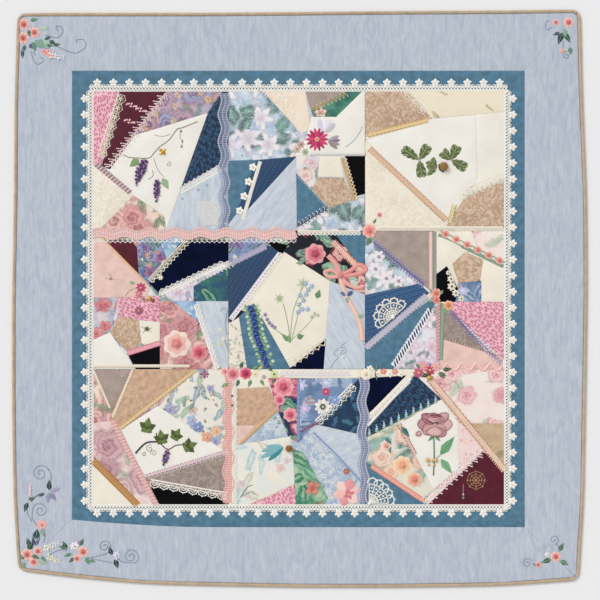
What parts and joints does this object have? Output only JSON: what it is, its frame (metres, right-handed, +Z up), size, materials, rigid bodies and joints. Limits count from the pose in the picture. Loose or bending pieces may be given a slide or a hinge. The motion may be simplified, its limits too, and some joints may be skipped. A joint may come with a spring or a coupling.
{
  "type": "nine-patch quilt",
  "caption": "Square crazy-pieced patchwork quilt lying flat, with pieced blocks, daisy lace, mitred inner and outer borders and a piped edge.",
  "frame": {"origin": "on the surface the quilt lies on, under the middle of its outline", "axes": "+X to the quilt's right-hand side and +Y to its top edge as its face is looked at, +Z up out of its face"},
  "size_m": [0.8527, 0.8567, 0.0079],
  "materials": {
    "block_cotton": "pieced cottons, silks and velvets, embroidered by hand",
    "teal_cotton": "matt polished cotton",
    "watered_silk": "pale blue watered silk, soft sheen",
    "piping_satin": "tan satin bias over cord",
    "cream_lace": "cream cotton lace and crochet",
    "lilac_lace": "lilac cotton lace",
    "pink_lace": "rose pink cotton lace",
    "ribbon": "silk and satin ribbon",
    "braid": "woven and crocheted braid",
    "gold_braid": "gold thread braid",
    "cord": "twisted cord",
    "cloth_petals": "cloth and crochet petals"
  },
  "bodies": {
    "root": {"block_1_1": "block_cotton", "block_1_2": "block_cotton", "block_1_3": "block_cotton", "block_2_1": "block_cotton", "block_2_2": "block_cotton", "block_2_3": "block_cotton", "block_3_1": "block_cotton", "block_3_2": "block_cotton", "block_3_3": "block_cotton", "border_inner_top": "teal_cotton", "border_inner_right": "teal_cotton", "border_inner_bottom": "teal_cotton", "border_inner_left": "teal_cotton", "border_outer_top": "watered_silk", "border_outer_right": "watered_silk", "border_outer_bottom": "watered_silk", "border_outer_left": "watered_silk", "piping_top": "piping_satin", "piping_right": "piping_satin", "piping_bottom": "piping_satin", "piping_left": "piping_satin", "lace_daisy_top": "cream_lace", "lace_daisy_right": "cream_lace", "lace_daisy_bottom": "cream_lace", "lace_daisy_left": "cream_lace", "lace_rose_edged_1_1": "cream_lace", "ribbon_ruched_1_1": "ribbon", "lace_lilac_1_1": "lilac_lace", "strip_daisy_1_2": "cream_lace", "cord_lilac_1_2": "cord", "lace_rosette_upper_1_3": "cream_lace", "braid_gold_1_3": "gold_braid", "ribbon_tan_1_3": "ribbon", "lace_rosette_lower_1_3": "cream_lace", "lace_seam_pink_2_1": "pink_lace", "lace_olive_2_1": "cream_lace", "lace_white_2_1": "cream_lace", "braid_lilac_2_2": "braid", "braid_white_2_2": "braid", "lace_scallop_2_2": "cream_lace", "braid_pink_2_2": "braid", "braid_lilac_2_3": "braid", "braid_navy_2_3": "braid", "braid_pink_2_3": "braid", "ribbon_rose_2_3": "ribbon", "cord_seam_3_1": "cord", "lace_seam_3_2": "cream_lace", "ribbon_rosebud_3_1": "ribbon", "ribbon_ochre_3_1": "ribbon", "lace_scallop_3_1": "cream_lace", "braid_pink_3_2": "braid", "lace_scallop_3_2": "cream_lace", "lace_lilac_3_3": "lilac_lace", "ribbon_tan_3_3": "ribbon", "flower_magenta_1_2": "cloth_petals", "rose_peach_2_3": "ribbon", "rose_cream_3_3": "ribbon", "flower_peach_3_2": "cloth_petals", "doily_2_3": "cream_lace", "doily_3_3": "cream_lace"}
  },
  "joints": []
}
